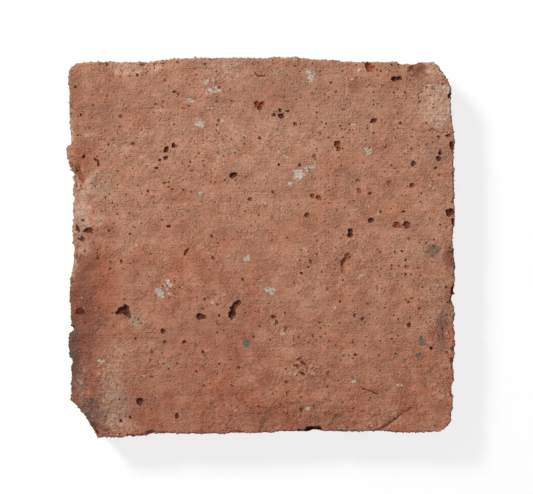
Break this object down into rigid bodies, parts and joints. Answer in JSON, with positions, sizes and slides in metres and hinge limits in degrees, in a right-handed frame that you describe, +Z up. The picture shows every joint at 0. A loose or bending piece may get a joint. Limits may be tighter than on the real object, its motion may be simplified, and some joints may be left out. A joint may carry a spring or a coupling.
{
  "type": "terracotta floor tile",
  "caption": "Reclaimed handmade terracotta floor tile: one square fired-clay slab with a pitted, struck walking face, worn arrises and a broken corner.",
  "frame": {"origin": "middle of the underside, at the centre of the tile's bounding box", "axes": "+Z up out of the walking face, +X along the longer side, +Y towards the back edge"},
  "size_m": [0.1998, 0.1968, 0.022],
  "materials": {
    "terracotta": "matte"
  },
  "bodies": {
    "root": {"tile_body": "terracotta"}
  },
  "joints": []
}
